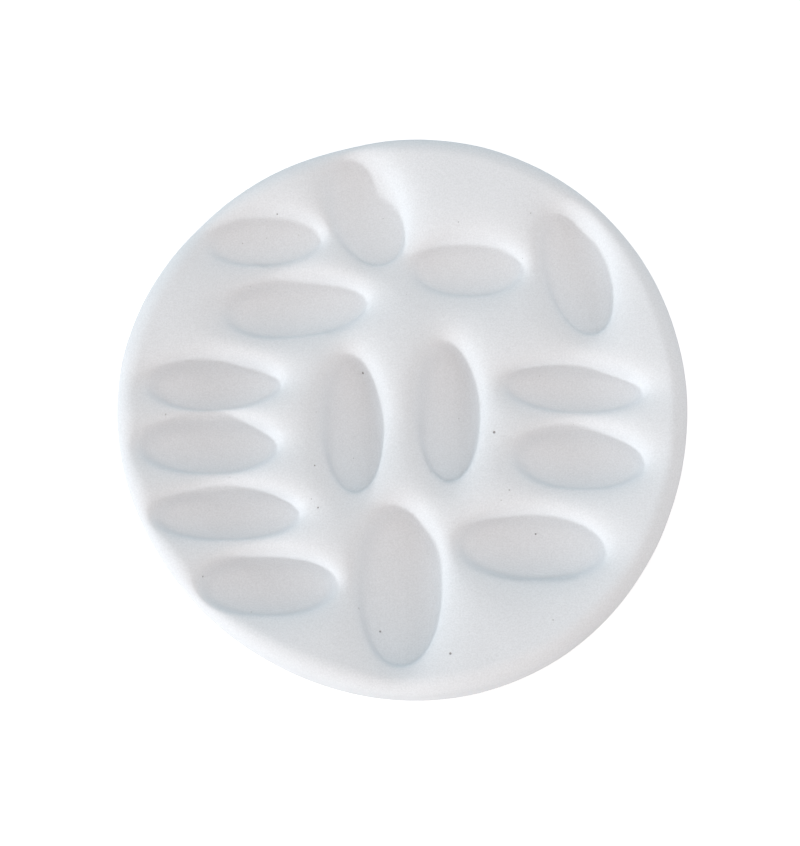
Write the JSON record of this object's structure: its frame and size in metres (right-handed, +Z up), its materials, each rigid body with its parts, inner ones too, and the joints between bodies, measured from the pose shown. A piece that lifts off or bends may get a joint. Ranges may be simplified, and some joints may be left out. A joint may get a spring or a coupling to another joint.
{
  "type": "ring dish",
  "caption": "Round matte white cast ring dish with finger-pressed oval hollows that hold rings and earrings, on stick-on foot pads.",
  "frame": {"origin": "middle of the footprint, on the surface that the dish stands on", "axes": "+Z up, +Y towards the far edge of the dish as it is looked into, +X to the right"},
  "size_m": [0.1, 0.1, 0.0147],
  "materials": {
    "cast_white": "matte",
    "pad": "matte",
    "adhesive": "satin"
  },
  "bodies": {
    "root": {"dish": "cast_white", "foot_pad_1": "pad", "foot_pad_2": "pad", "foot_pad_3": "pad", "foot_pad_4": "pad", "pad_adhesive_1": "adhesive", "pad_adhesive_2": "adhesive", "pad_adhesive_3": "adhesive", "pad_adhesive_4": "adhesive"}
  },
  "joints": []
}
